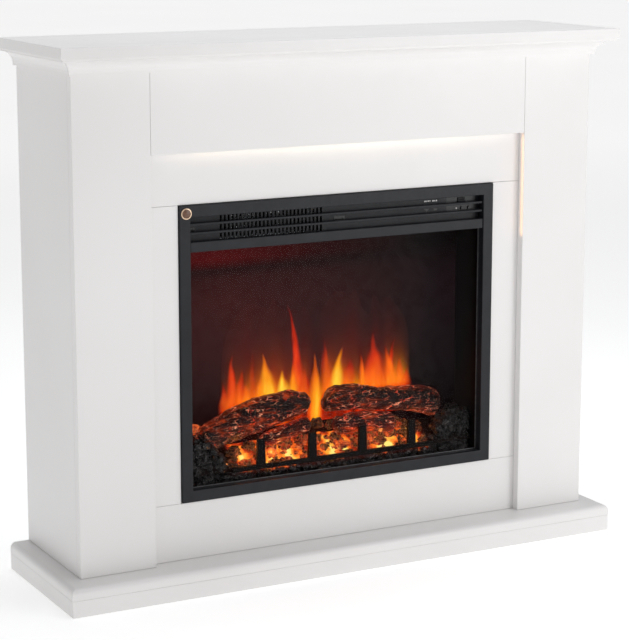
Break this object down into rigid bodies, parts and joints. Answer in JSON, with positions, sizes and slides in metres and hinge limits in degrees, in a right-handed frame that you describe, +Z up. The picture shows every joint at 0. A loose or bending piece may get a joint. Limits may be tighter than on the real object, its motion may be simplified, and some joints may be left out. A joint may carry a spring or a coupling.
{
  "type": "electric fireplace",
  "caption": "Freestanding electric fireplace: white mantel surround with pilasters and hearth around a black insert with log-effect flames, louvred heater outlet and controls.",
  "frame": {"origin": "middle of the footprint, on the floor", "axes": "+X to the right seen from the front, +Y to the wall behind, +Z up; the flames face -Y"},
  "size_m": [1.174, 0.328, 1.025],
  "materials": {
    "white_board": "satin white paint over medium density board",
    "black_steel": "satin black powder coat",
    "liner": "matt black",
    "galvanised": "galvanised sheet",
    "glazing": "clear float glass",
    "flame_screen": "smoked translucent acrylic",
    "charred_log": "moulded resin, charred bark",
    "ember": "translucent moulded ember bed",
    "coal": "moulded black coals",
    "iron": "matt black casting",
    "aluminium": "bright aluminium",
    "diffuser": "opal diffuser",
    "lens": "clear lens",
    "plastic": "moulded black plastic",
    "circuit_board": "solder mask green",
    "badge": "plain bronze-coloured disc with a cream rim"
  },
  "bodies": {
    "surround": {"mantel_shelf": "white_board", "front_cornice": "white_board", "left_cornice": "white_board", "right_cornice": "white_board", "left_pilaster": "white_board", "right_pilaster": "white_board", "left_side_panel": "white_board", "right_side_panel": "white_board", "frieze_board": "white_board", "upper_infill_rail": "white_board", "lower_infill_rail": "white_board", "left_infill_stile": "white_board", "right_infill_stile": "white_board", "hearth_top": "white_board", "front_plinth": "white_board", "left_plinth": "white_board", "right_plinth": "white_board", "rear_top_rail": "white_board", "insert_shelf": "white_board", "trim_frame": "black_steel", "trim_crossbar": "black_steel", "upper_louvre": "black_steel", "lower_louvre": "black_steel", "slotted_grille": "black_steel", "left_liner": "liner", "right_liner": "liner", "casing_left": "galvanised", "casing_right": "galvanised", "casing_top": "galvanised", "casing_bottom": "galvanised", "casing_back": "galvanised", "heater_deck": "galvanised", "blower_housing": "galvanised", "blower_motor": "galvanised", "rotor_motor": "galvanised", "left_wall_bracket": "galvanised", "right_wall_bracket": "galvanised", "front_glass": "glazing", "flame_screen": "flame_screen", "left_log": "charred_log", "right_log": "charred_log", "lower_left_log": "charred_log", "lower_right_log": "charred_log", "ember_bed": "ember", "coal_bed": "coal", "fire_grate": "iron", "light_channel": "aluminium", "heating_element": "aluminium", "light_diffuser": "diffuser", "receiver_lens": "lens", "control_panel": "plastic", "rotor_bush": "plastic", "cord_gland": "plastic", "flame_led_board": "circuit_board", "badge": "badge"},
    "flame_rotor": {"flame_rotor": "aluminium"},
    "blower_wheel": {"blower_wheel": "aluminium"},
    "power_switch": {"power_switch": "plastic"},
    "heat_button": {"heat_button": "plastic"},
    "flame_button": {"flame_button": "plastic"}
  },
  "joints": [
    {"name": "flame_rotor_spin", "type": "hinge", "parent": "surround", "child": "flame_rotor", "pos_m": [0, 0.0423, 0.236], "axis": [1, 0, 0], "continuous": true},
    {"name": "blower_spin", "type": "hinge", "parent": "surround", "child": "blower_wheel", "pos_m": [0, 0.0201, 0.6788], "axis": [1, 0, 0], "continuous": true},
    {"name": "power_rock", "type": "hinge", "parent": "surround", "child": "power_switch", "pos_m": [0.276, -0.0754, 0.6955], "axis": [1, 0, 0], "range_deg": [0, 16]},
    {"name": "heat_press", "type": "slide", "parent": "surround", "child": "heat_button", "axis": [0, 1, 0], "range_m": [0, 0.0014], "stiffness_N_per_m": 150, "springref_m": -0.0005},
    {"name": "flame_press", "type": "slide", "parent": "surround", "child": "flame_button", "axis": [0, 1, 0], "range_m": [0, 0.0014], "stiffness_N_per_m": 150, "springref_m": -0.0005}
  ]
}
